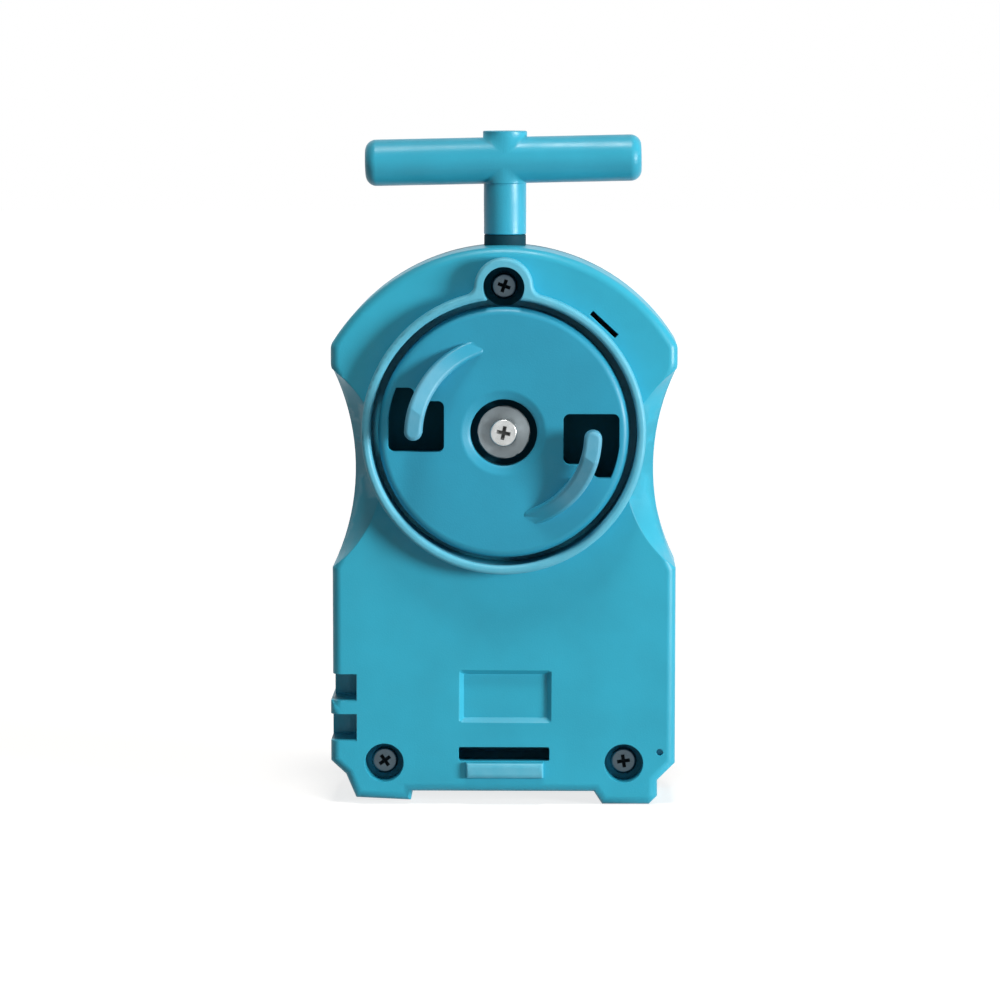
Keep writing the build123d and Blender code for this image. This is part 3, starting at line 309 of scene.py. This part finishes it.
def braided_cord(name, color):
    """Braid: strands that climb both ways and cross, each of fine yarns."""
    yarns = 5200.0
    yarn_share = 0.4
    strand_depth = 0.10 * MM
    material, tree, links = new_material(name)
    shader = tree["Principled BSDF"]
    yarn = object_noise(tree, links, yarns)
    one_way, other_way = (diagonal_strands(tree, links, lean) for lean in (1.0, -1.0))
    strands = calculate(tree, links, "MAXIMUM", one_way, other_way)
    relief = calculate(tree, links, "ADD", strands, calculate(tree, links, "MULTIPLY", yarn, yarn_share))
    raised = mottle(tree, links, yarn, shaded(color, 0.88), shaded(color, 1.1))
    # Painted shade: between the strands the colour is darkened, where shade falls in the braid
    surface = blend_colors(tree, links, strands, shaded(color, 0.55), raised)
    links.new(surface, shader.inputs["Base Color"])
    links.new(bump(tree, links, relief, strand_depth), shader.inputs["Normal"])
    shader.inputs["Roughness"].default_value = 0.8
    shader.inputs["Sheen Weight"].default_value = 0.3
    return material


# ---------------------------------------------------------------- camera, light and floor
camera_distance = 0.75
camera_elevation = math.radians(6.0)
camera_azimuth = math.radians(1.0)
camera_reach = (0.01, 20.0)
look_at = Vector((-0.0007, -0.005, 0.0556))
picture_width = 0.180
sensor_width = 36.0

white = (1.0, 1.0, 1.0)
fill_strength = 0.045
lamp_target = (0, 0, 0.06)
# Each lamp's place, diameter, watts and colour
lamps = {
    "side_lamp": ((1.01, -0.63, 0.14), 0.42, 20.6, (1.0, 0.985, 0.96)),
    "front_lamp": ((-0.10, -1.30, 0.30), 0.60, 0.3, white),
    "top_lamp": ((0.03, -0.26, 0.92), 0.22, 5.5, (1.0, 0.95, 0.89)),
}

floor_size = 6.0
floor_grey = (0.35, 0.35, 0.35)
floor_glow = (0.78, 1.02)
floor_glow_reach = 1.2


def set_up_camera():
    towards_camera = Vector((
        math.sin(camera_azimuth) * math.cos(camera_elevation),
        -math.cos(camera_azimuth) * math.cos(camera_elevation),
        math.sin(camera_elevation),
    ))
    bpy.ops.object.camera_add(location=look_at + towards_camera * camera_distance)
    camera = bpy.context.object
    camera.name = "camera"
    camera.rotation_euler = (-towards_camera).to_track_quat("-Z", "Y").to_euler()
    camera.data.sensor_width = sensor_width
    camera.data.lens = sensor_width * camera_distance / picture_width
    camera.data.clip_start, camera.data.clip_end = camera_reach
    bpy.context.scene.camera = camera


def add_soft_lamp(name, position, size, watts, color):
    bpy.ops.object.light_add(type="AREA", location=position)
    lamp = bpy.context.object
    lamp.name = name
    lamp.data.shape = "DISK"
    lamp.data.size = size
    lamp.data.energy = watts
    lamp.data.color = color
    lamp.rotation_euler = (Vector(lamp_target) - Vector(position)).to_track_quat("-Z", "Y").to_euler()


def for_camera(tree, links, others, seen):
    """A shader: seen, for rays that come from the camera or by way of a mirror or glass, and others for
    the rest."""
    rays = tree.new("ShaderNodeLightPath").outputs
    passed_on = calculate(tree, links, "MAXIMUM", rays["Is Glossy Ray"], rays["Is Transmission Ray"])
    mix = tree.new("ShaderNodeMixShader")
    links.new(calculate(tree, links, "MAXIMUM", rays["Is Camera Ray"], passed_on), mix.inputs[0])
    links.new(others, mix.inputs[1])
    links.new(seen, mix.inputs[2])
    return mix.outputs[0]


def set_up_world():
    world = bpy.data.worlds.new("studio")
    bpy.context.scene.world = world
    world.use_nodes = True
    tree = world.node_tree.nodes
    links = world.node_tree.links
    fill = tree["Background"]
    backdrop = tree.new("ShaderNodeBackground")
    for background, strength in ((fill, fill_strength), (backdrop, 1.0)):
        background.inputs["Color"].default_value = (*white, 1.0)
        background.inputs["Strength"].default_value = strength
    surface = for_camera(tree, links, fill.outputs[0], backdrop.outputs[0])
    links.new(surface, tree["World Output"].inputs["Surface"])


def set_up_floor():
    bpy.ops.mesh.primitive_plane_add(size=floor_size, location=(0, 0, 0))
    floor = bpy.context.object
    floor.name = "floor"
    material, tree, links = new_material("pale_floor")
    shader = tree["Principled BSDF"]
    shader.inputs["Base Color"].default_value = (*floor_grey, 1.0)
    shader.inputs["Roughness"].default_value = 0.9
    shader.inputs["Specular IOR Level"].default_value = 0.1
    # The lamps' light falls off away from the object, so the floor's own glow makes up for it there
    place = tree.new("ShaderNodeTexCoord")
    distance = tree.new("ShaderNodeVectorMath")
    distance.operation = "LENGTH"
    links.new(place.outputs["Object"], distance.inputs[0])
    glow = tree.new("ShaderNodeEmission")
    strength = ramp(tree, links, distance.outputs["Value"], 0.0, floor_glow_reach, *floor_glow)
    links.new(strength, glow.inputs["Strength"])
    glowing = tree.new("ShaderNodeAddShader")
    links.new(shader.outputs[0], glowing.inputs[0])
    links.new(glow.outputs[0], glowing.inputs[1])
    surface = for_camera(tree, links, shader.outputs[0], glowing.outputs[0])
    links.new(surface, tree["Material Output"].inputs["Surface"])
    floor.data.materials.append(material)


bpy.context.scene.view_settings.view_transform = "Standard"
set_up_camera()
set_up_world()
set_up_floor()
for name, settings in lamps.items():
    add_soft_lamp(name, *settings)


# ---------------------------------------------------------------- finishes
# Painted shade darkens these hollows. Hollows are given as their centre and radius, and the depths at which
# the painted shade starts, is full and ends
case_hollows = [
    (disc_axis, disc_radius - 1.0 * MM, collar_top_y + 4.5 * MM, collar_top_y + 8.5 * MM, split_y),
    (top_screw, 3.7 * MM, collar_top_y + 3.0 * MM, collar_top_y + 7.5 * MM, split_y),
]
case_hollows += [
    (screw, 3.5 * MM, collar_top_y + 6.5 * MM, collar_top_y + 10.0 * MM, split_y) for screw in low_screws
]
# Painted shade inside the disc, behind its face
disc_hollows = [
    (disc_axis, disc_radius - 1.0 * MM, disc_face_y + 1.4 * MM, disc_face_y + 2.2 * MM, split_y)
]
# Painted shade in the driver recesses of the case screws and the disc screw
recess_radius = 0.66 * screw_head_radius
case_screw_recesses = [
    (screw, recess_radius, screw_front_y + 0.15 * MM, screw_front_y + 0.5 * MM, screw_seat_y)
    for screw in [top_screw] + low_screws
]
disc_screw_recess = [(
    disc_axis, recess_radius,
    disc_screw_front_y + 0.15 * MM, disc_screw_front_y + 0.4 * MM, disc_screw_seat_y,
)]
# What stands proud is given as the depths at which its painted highlight starts and is full
case_proud = (case_face_y - 0.6 * MM, case_face_y - 1.1 * MM)
disc_proud = (disc_face_y - 0.8 * MM, disc_face_y - 4.0 * MM)

case_blue = (0.026, 0.350, 0.505)
disc_blue = (0.020, 0.275, 0.425)
handle_blue = (0.028, 0.330, 0.480)
# The eyelet's near-black colour is partly its own dark colour and partly painted shade, for the gap under
# the handle's stem
eyelet_dark = (0.003, 0.040, 0.060)
gear_ivory = (0.78, 0.77, 0.72)
screw_grey = (0.075, 0.105, 0.125)
disc_screw_grey = (0.50, 0.52, 0.52)
washer_grey = (0.18, 0.21, 0.225)
pin_grey = (0.58, 0.58, 0.57)
bush_brown = (0.42, 0.27, 0.12)
spring_blue = (0.20, 0.23, 0.30)
cord_cream = (0.72, 0.71, 0.66)

finish = {
    "case_plastic": moulded_plastic("case_plastic", case_blue, 0.38, case_hollows, case_proud),
    "disc_plastic": moulded_plastic("disc_plastic", disc_blue, 0.42, disc_hollows, disc_proud),
    "handle_plastic": moulded_plastic("handle_plastic", handle_blue, 0.36),
    "eyelet_nylon": moulded_plastic("eyelet_nylon", eyelet_dark, 0.70, reflection=0.12),
    "gear_acetal": moulded_plastic("gear_acetal", gear_ivory, 0.35),
    "screw_steel": machined_metal("screw_steel", screw_grey, 0.30, case_screw_recesses),
    "disc_screw_steel": machined_metal("disc_screw_steel", disc_screw_grey, 0.25, disc_screw_recess),
    "washer_steel": machined_metal("washer_steel", washer_grey, 0.45, turned_about=disc_axis),
    "pin_steel": machined_metal("pin_steel", pin_grey, 0.22),
    "bush_bronze": machined_metal("bush_bronze", bush_brown, 0.45, turned_about=disc_axis),
    "spring_steel": machined_metal("spring_steel", spring_blue, 0.30),
    "cord_braid": braided_cord("cord_braid", cord_cream),
}


# ---------------------------------------------------------------- making tools
def select_only(piece):
    bpy.ops.object.select_all(action="DESELECT")
    piece.select_set(True)
    bpy.context.view_layer.objects.active = piece


def edit(piece):
    select_only(piece)
    bpy.ops.object.mode_set(mode="EDIT")
    bpy.ops.mesh.select_all(action="SELECT")


def leave_edit():
    bpy.ops.object.mode_set(mode="OBJECT")


def apply_modifiers(piece):
    select_only(piece)
    for modifier in list(piece.modifiers):
        bpy.ops.object.modifier_apply(modifier=modifier.name)


def settle(piece, name):
    """Puts the piece's place, turn and size into its mesh and names it."""
    select_only(piece)
    bpy.ops.object.transform_apply(location=True, rotation=True, scale=True)
    piece.name = name
    piece.data.name = name


def smooth(piece, degrees):
    select_only(piece)
    bpy.ops.object.shade_smooth_by_angle(angle=math.radians(degrees))


def copy_of(original, name):
    piece = bpy.data.objects.new(name, original.data.copy())
    bpy.context.scene.collection.objects.link(piece)
    return piece


def paint(piece, slot):
    piece.data.materials.clear()
    piece.data.materials.append(finish[slot])


def stand_for(piece, slot, node):
    """Gives a piece its finish and its slot, and lets it stand for a CAD node."""
    paint(piece, slot)
    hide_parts(node)


def clad(piece, slot, node):
    """As stand_for, for a piece that rides on the node's body."""
    stand_for(piece, slot, node)
    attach(piece, body_of_node[node])


# ---------------------------------------------------------------- moulded pieces
weld_distance = 0.002 * MM
flat_angle = math.radians(0.06)
sharp_angle = math.radians(56.0)
shallow_angle = math.radians(40.0)
moulding_smooth_degrees = 32.0


def mark_outward_edges(piece, face_y):
    """Marks the edges to be rounded: the outward sharp ones, and in the face at face_y the outward shallow
    ones too."""
    mesh = piece.data
    corners = mesh.vertices
    sides = {}
    for polygon in mesh.polygons:
        round_trip = list(polygon.vertices)
        for start, end in zip(round_trip, round_trip[1:] + round_trip[:1]):
            sides.setdefault(frozenset((start, end)), []).append((polygon.normal, start, end))
    weight = mesh.attributes.new("bevel_weight_edge", "FLOAT", "EDGE")
    for edge in mesh.edges:
        pair = sides.get(frozenset(edge.vertices), ())
        if len(pair) != 2:
            continue
        (normal, start, end), (other_normal, _, _) = pair
        inward = normal.cross(corners[end].co - corners[start].co)
        on_face = all(abs(corners[corner].co.y - face_y) < 0.01 * MM for corner in edge.vertices)
        limit = shallow_angle if on_face else sharp_angle
        if other_normal.dot(inward) < 0 and normal.angle(other_normal, 0.0) > limit:
            weight.data[edge.index].value = 1.0


def moulding_from(node, name, edge_radius, face_y):
    """A copy of a CAD node with its loose triangles joined and its outward edges rounded."""
    piece = copy_of(nodes[node], name)
    edit(piece)
    bpy.ops.mesh.remove_doubles(threshold=weld_distance)
    bpy.ops.mesh.dissolve_limited(angle_limit=flat_angle)
    leave_edit()
    mark_outward_edges(piece, face_y)
    rounding = piece.modifiers.new("rounded edges", "BEVEL")
    rounding.width = edge_radius
    rounding.segments = 2
    rounding.limit_method = "WEIGHT"
    rounding.use_clamp_overlap = False
    rounding.loop_slide = False
    rounding.miter_outer = "MITER_SHARP"
    apply_modifiers(piece)
    smooth(piece, moulding_smooth_degrees)
    flats = piece.modifiers.new("flat faces stay flat", "WEIGHTED_NORMAL")
    flats.keep_sharp = True
    flats.weight = 100
    apply_modifiers(piece)
    piece.data.name = name
    return piece


for node, name, edge_radius in (
    ("front_cover", "front_cover_moulding", 0.12 * MM),
    ("rear_cover", "rear_cover_moulding", 0.12 * MM),
    ("drive_disc", "drive_disc_moulding", 0.12 * MM),
    ("pull_handle", "pull_handle_moulding", 0.20 * MM),
    ("cord_eyelet", "cord_eyelet_moulding", 0.15 * MM),
    ("disc_washer", "disc_washer_turned", 0.08 * MM),
):
    clad(moulding_from(node, name, edge_radius, case_face_y), slot_of_node[node], node)


# ---------------------------------------------------------------- screws
case_shank_radius = 1.3 * MM
case_screw_pitch = 0.9 * MM
case_recess_turn = 0.35
disc_screw_head_radius = 2.45 * MM
disc_shank_radius = 1.25 * MM
disc_screw_pitch = 0.45 * MM
disc_recess_turn = 0.2

# Of the head's height or radius
crown_share = 0.28
driver_depth_share = 0.62
driver_width_share = 0.36
driver_reach_share = 1.30
driver_taper = 0.55
# Of the shank's radius, the core's and the thread's pitch
core_share = 0.78
tip_length_share = 1.2
tip_end_share = 0.35
ridge_share = 0.42
thread_steps = 20
screw_smooth_degrees = 35.0


def run_boolean(piece, other, operation):
    """Adds the other piece's shape to the piece or cuts it out, and deletes the other."""
    boolean = piece.modifiers.new("boolean", "BOOLEAN")
    boolean.operation = operation
    boolean.solver = "EXACT"
    boolean.object = other
    apply_modifiers(piece)
    bpy.data.objects.remove(other, do_unlink=True)


def cross_driver(seat, width, reach, depth):
    """A tapered cross for a driver, its point towards +Z, centred on seat."""
    arms = []
    for length, breadth in ((reach, width), (width, reach)):
        bpy.ops.mesh.primitive_cube_add(size=1.0, location=seat)
        arm = bpy.context.object
        arm.scale = (length, breadth, 2 * depth)
        bpy.ops.object.transform_apply(location=False, rotation=False, scale=True)
        for corner in arm.data.vertices:
            if corner.co.z > 0:
                corner.co.x *= driver_taper
                corner.co.y *= driver_taper
        arms.append(arm)
    cross, other = arms
    run_boolean(cross, other, "UNION")
    return cross


def turn_thread(radius, core, pitch, length, top_z):
    """A ridge that winds down a screw's shank from top_z."""
    ridge_radius = pitch * ridge_share
    start = (core, 0, top_z)
    bpy.ops.mesh.primitive_circle_add(vertices=3, radius=ridge_radius, location=start)
    ridge = bpy.context.object
    edit(ridge)
    bpy.ops.transform.rotate(value=math.radians(90), orient_axis="X", center_override=start)
    bpy.ops.transform.resize(value=((radius - core) / ridge_radius, 1, 1), center_override=start)
    leave_edit()
    bpy.ops.object.transform_apply(location=True, rotation=True, scale=True)
    winding = ridge.modifiers.new("winding", "SCREW")
    winding.axis = "Z"
    winding.screw_offset = -pitch
    winding.iterations = int(length / pitch)
    winding.steps = thread_steps
    winding.render_steps = thread_steps
    apply_modifiers(ridge)
    edit(ridge)
    bpy.ops.mesh.fill_holes(sides=4)
    bpy.ops.mesh.normals_make_consistent(inside=False)
    leave_edit()
    return ridge


def make_screw(name, head_radius, head_height, shank_radius, length, recess_turn, pitch):
    """A pan-head screw along Z: its head's seat at the origin, its head towards -Z."""
    bpy.ops.mesh.primitive_cylinder_add(
        vertices=48, radius=head_radius, depth=head_height, location=(0, 0, -head_height / 2)
    )
    head = bpy.context.object
    crown = head.modifiers.new("crown", "BEVEL")
    crown.width = head_height * crown_share
    crown.segments = 5
    crown.limit_method = "ANGLE"
    crown.angle_limit = math.radians(60)
    apply_modifiers(head)
    driver = cross_driver(
        (0, 0, -head_height),
        head_radius * driver_width_share, head_radius * driver_reach_share, head_height * driver_depth_share,
    )
    select_only(driver)
    driver.rotation_euler = (0, 0, recess_turn)
    bpy.ops.object.transform_apply(location=True, rotation=True, scale=True)
    run_boolean(head, driver, "DIFFERENCE")
    core = shank_radius * core_share
    tip = shank_radius * tip_length_share
    tip_start = length - tip
    bpy.ops.mesh.primitive_cylinder_add(
        vertices=32, radius=core, depth=tip_start, location=(0, 0, tip_start / 2)
    )
    shank = bpy.context.object
    bpy.ops.mesh.primitive_cone_add(
        vertices=32, radius1=core, radius2=core * tip_end_share, depth=tip, location=(0, 0, length - tip / 2)
    )
    point = bpy.context.object
    thread = turn_thread(shank_radius, core, pitch, tip_start - 2 * pitch, tip_start - pitch)
    bpy.ops.object.select_all(action="DESELECT")
    for piece in (shank, point, thread, head):
        piece.select_set(True)
    bpy.context.view_layer.objects.active = head
    bpy.ops.object.join()
    settle(head, name)
    smooth(head, screw_smooth_degrees)
    return head


def set_screw(screw, center, seat_y, turn=0.0):
    """Turns a screw about itself, then front to back, with its head's seat at depth seat_y."""
    select_only(screw)
    screw.rotation_euler = (0, 0, turn)
    bpy.ops.object.transform_apply(rotation=True)
    screw.rotation_euler = (math.radians(-90), 0, 0)
    screw.location = (center[0], seat_y, center[1])
    settle(screw, screw.name)


case_screw = make_screw(
    "case_screw_top", screw_head_radius, screw_head_height, case_shank_radius,
    screw_high[1] - screw_seat_y, case_recess_turn, case_screw_pitch,
)
case_screws = [case_screw] + [copy_of(case_screw, name) for name in ("case_screw_left", "case_screw_right")]
for screw, center, turn in zip(case_screws, [top_screw] + low_screws, (0.0, 0.6, -0.5)):
    set_screw(screw, center, screw_seat_y, turn)
    clad(screw, "screw_steel", "case_screws")

disc_screw = make_screw(
    "disc_screw_turned", disc_screw_head_radius, disc_screw_seat_y - disc_screw_front_y, disc_shank_radius,
    disc_screw_high[1] - disc_screw_seat_y, disc_recess_turn, disc_screw_pitch,
)
set_screw(disc_screw, disc_axis, disc_screw_seat_y)
clad(disc_screw, "disc_screw_steel", "disc_screw")


# ---------------------------------------------------------------- cord
cord_smooth_degrees = 60.0
cord_low, cord_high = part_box("cord_run")
cord_radius = (cord_high[1] - cord_low[1]) / 2
eyelet_top_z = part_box("cord_eyelet")[1][2]
stretch_start_z = eyelet_top_z - 0.6 * MM
stretch_end_z = eyelet_top_z - 0.1 * MM

knot_low, knot_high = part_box("cord_knot")
knot_middle = middle_of("cord_knot")
knot_size = (knot_high[0] - knot_low[0]) / 2 - cord_radius
knot_rise = 0.9 * MM
knot_steps = 18

winding_low, winding_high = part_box("cord_winding")
winding_middle = middle_of("cord_winding")
winding_radius = (winding_high[0] - winding_low[0]) / 2
winding_half_width = 0.72 * MM
turns_across = 2
steps_per_turn = 16
# Each layer's depth below the winding's surface, and the side that it starts from
layers = ((2.25 * MM, -1), (1.3 * MM, 1), (0.65 * MM, -1))


def cut_level(piece, height):
    """Adds a row of points round the piece at a height."""
    edit(piece)
    bpy.ops.mesh.bisect(plane_co=(0, 0, height), plane_no=(0, 0, 1))
    leave_edit()


def cord_along(name, points, closed=False):
    """A round cord on a smooth line through control points."""
    curve = bpy.data.curves.new(name, "CURVE")
    curve.dimensions = "3D"
    curve.bevel_depth = cord_radius
    curve.bevel_resolution = 3
    curve.use_fill_caps = True
    spline = curve.splines.new("NURBS")
    spline.points.add(len(points) - 1)
    for point, place in zip(spline.points, points):
        point.co = (*place, 1.0)
    spline.order_u = 3
    spline.use_endpoint_u = not closed
    spline.use_cyclic_u = closed
    spline.resolution_u = 4
    line = bpy.data.objects.new(name, curve)
    bpy.context.scene.collection.objects.link(line)
    select_only(line)
    bpy.ops.object.convert(target="MESH")
    cord = bpy.context.object
    settle(cord, name)
    smooth(cord, cord_smooth_degrees)
    return cord


pull_cord = copy_of(nodes["cord_run"], "pull_cord")
edit(pull_cord)
bpy.ops.mesh.remove_doubles(threshold=weld_distance)
leave_edit()
for height in (stretch_start_z, stretch_end_z):
    cut_level(pull_cord, height)
smooth(pull_cord, cord_smooth_degrees)
stand_for(pull_cord, "cord_braid", "cord_run")
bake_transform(pull_cord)

knot_points = []
for step in range(knot_steps):
    turn = math.tau * step / knot_steps
    knot_points.append((
        knot_middle.x + knot_size * (math.sin(turn) + 2 * math.sin(2 * turn)) / 3,
        knot_middle.y + knot_size * (math.cos(turn) - 2 * math.cos(2 * turn)) / 3,
        knot_middle.z - knot_rise * math.sin(3 * turn),
    ))
clad(cord_along("pull_cord_knot", knot_points, closed=True), "cord_braid", "cord_knot")

winding_points = []
layer_steps = turns_across * steps_per_turn
for depth, direction in layers:
    radius = winding_radius - depth
    for step in range(layer_steps):
        turn = math.tau * step / steps_per_turn
        winding_points.append((
            winding_middle.x + radius * math.cos(turn),
            winding_middle.y + direction * (1 - 2 * step / (layer_steps - 1)) * winding_half_width,
            winding_middle.z + radius * math.sin(turn),
        ))
clad(cord_along("wound_cord", winding_points), "cord_braid", "cord_winding")

# The CAD nodes that stay get the finish of their slot
for node in nodes:
    paint(nodes[node], slot_of_node[node])
